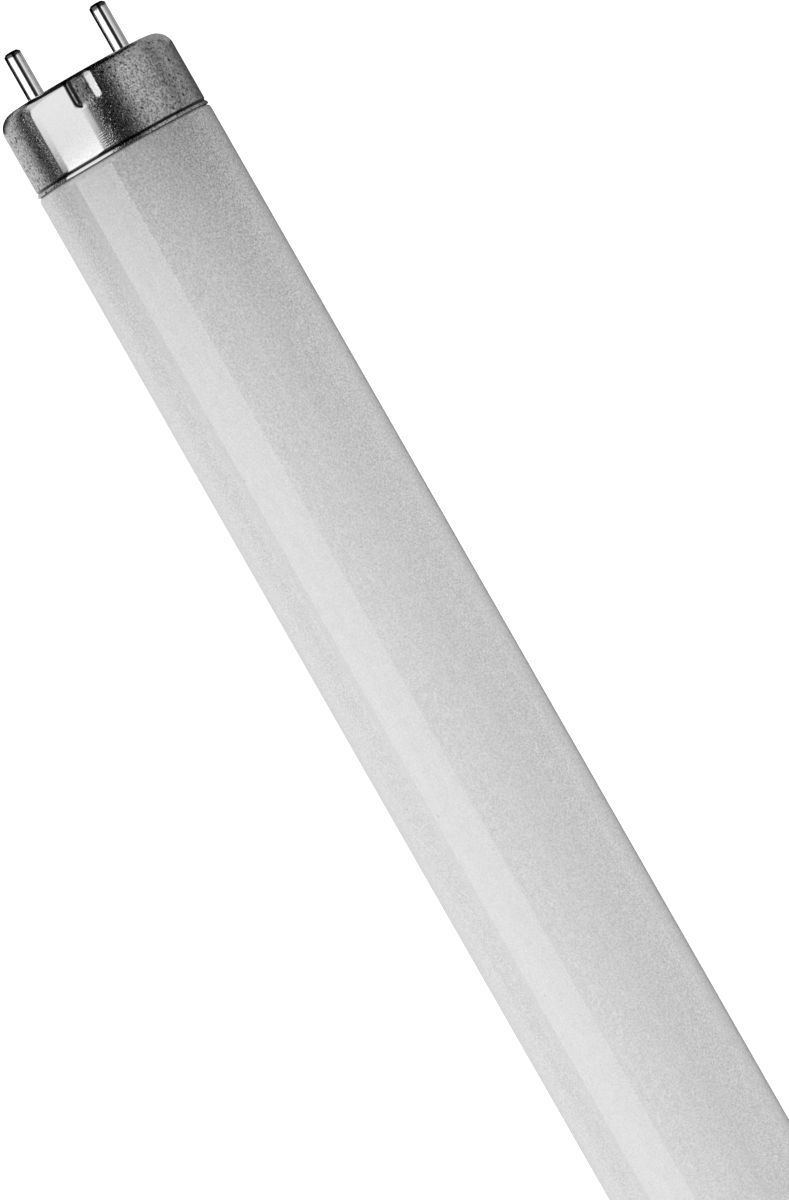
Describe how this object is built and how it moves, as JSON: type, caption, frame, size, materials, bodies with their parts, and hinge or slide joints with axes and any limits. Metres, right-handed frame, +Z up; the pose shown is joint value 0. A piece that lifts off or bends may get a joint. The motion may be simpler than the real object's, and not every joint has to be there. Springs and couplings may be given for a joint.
{
  "type": "fluorescent tube",
  "caption": "Straight fluorescent lamp: a white-coated glass tube with a notched aluminium bi-pin cap at each end, for a pair of lamp holders.",
  "frame": {"origin": "on the surface that the lamp lies on, below the middle of the glass", "axes": "+X along the lamp towards one cap, +Z up, with the pins of both caps level and one index notch of each cap on top"},
  "size_m": [0.6038, 0.0254, 0.0254],
  "materials": {
    "coated_glass": "clear glass over an even white coating on its inside, greyed towards the caps",
    "cap_aluminium": "drawn sheet, finely pitted",
    "insulator": "moulded",
    "pin_metal": "nickel plated",
    "solder": "tin solder",
    "lead_wire": "nickel wire",
    "cement": "baked resin cement"
  },
  "bodies": {
    "root": {"glass_tube": "coated_glass", "cement": "cement", "cap_shell_right": "cap_aluminium", "insulator_right": "insulator", "pin_right_front": "pin_metal", "solder_right_front": "solder", "lead_wire_right_front": "lead_wire", "pin_right_back": "pin_metal", "solder_right_back": "solder", "lead_wire_right_back": "lead_wire", "cap_shell_left": "cap_aluminium", "insulator_left": "insulator", "pin_left_front": "pin_metal", "solder_left_front": "solder", "lead_wire_left_front": "lead_wire", "pin_left_back": "pin_metal", "solder_left_back": "solder", "lead_wire_left_back": "lead_wire"}
  },
  "joints": []
}
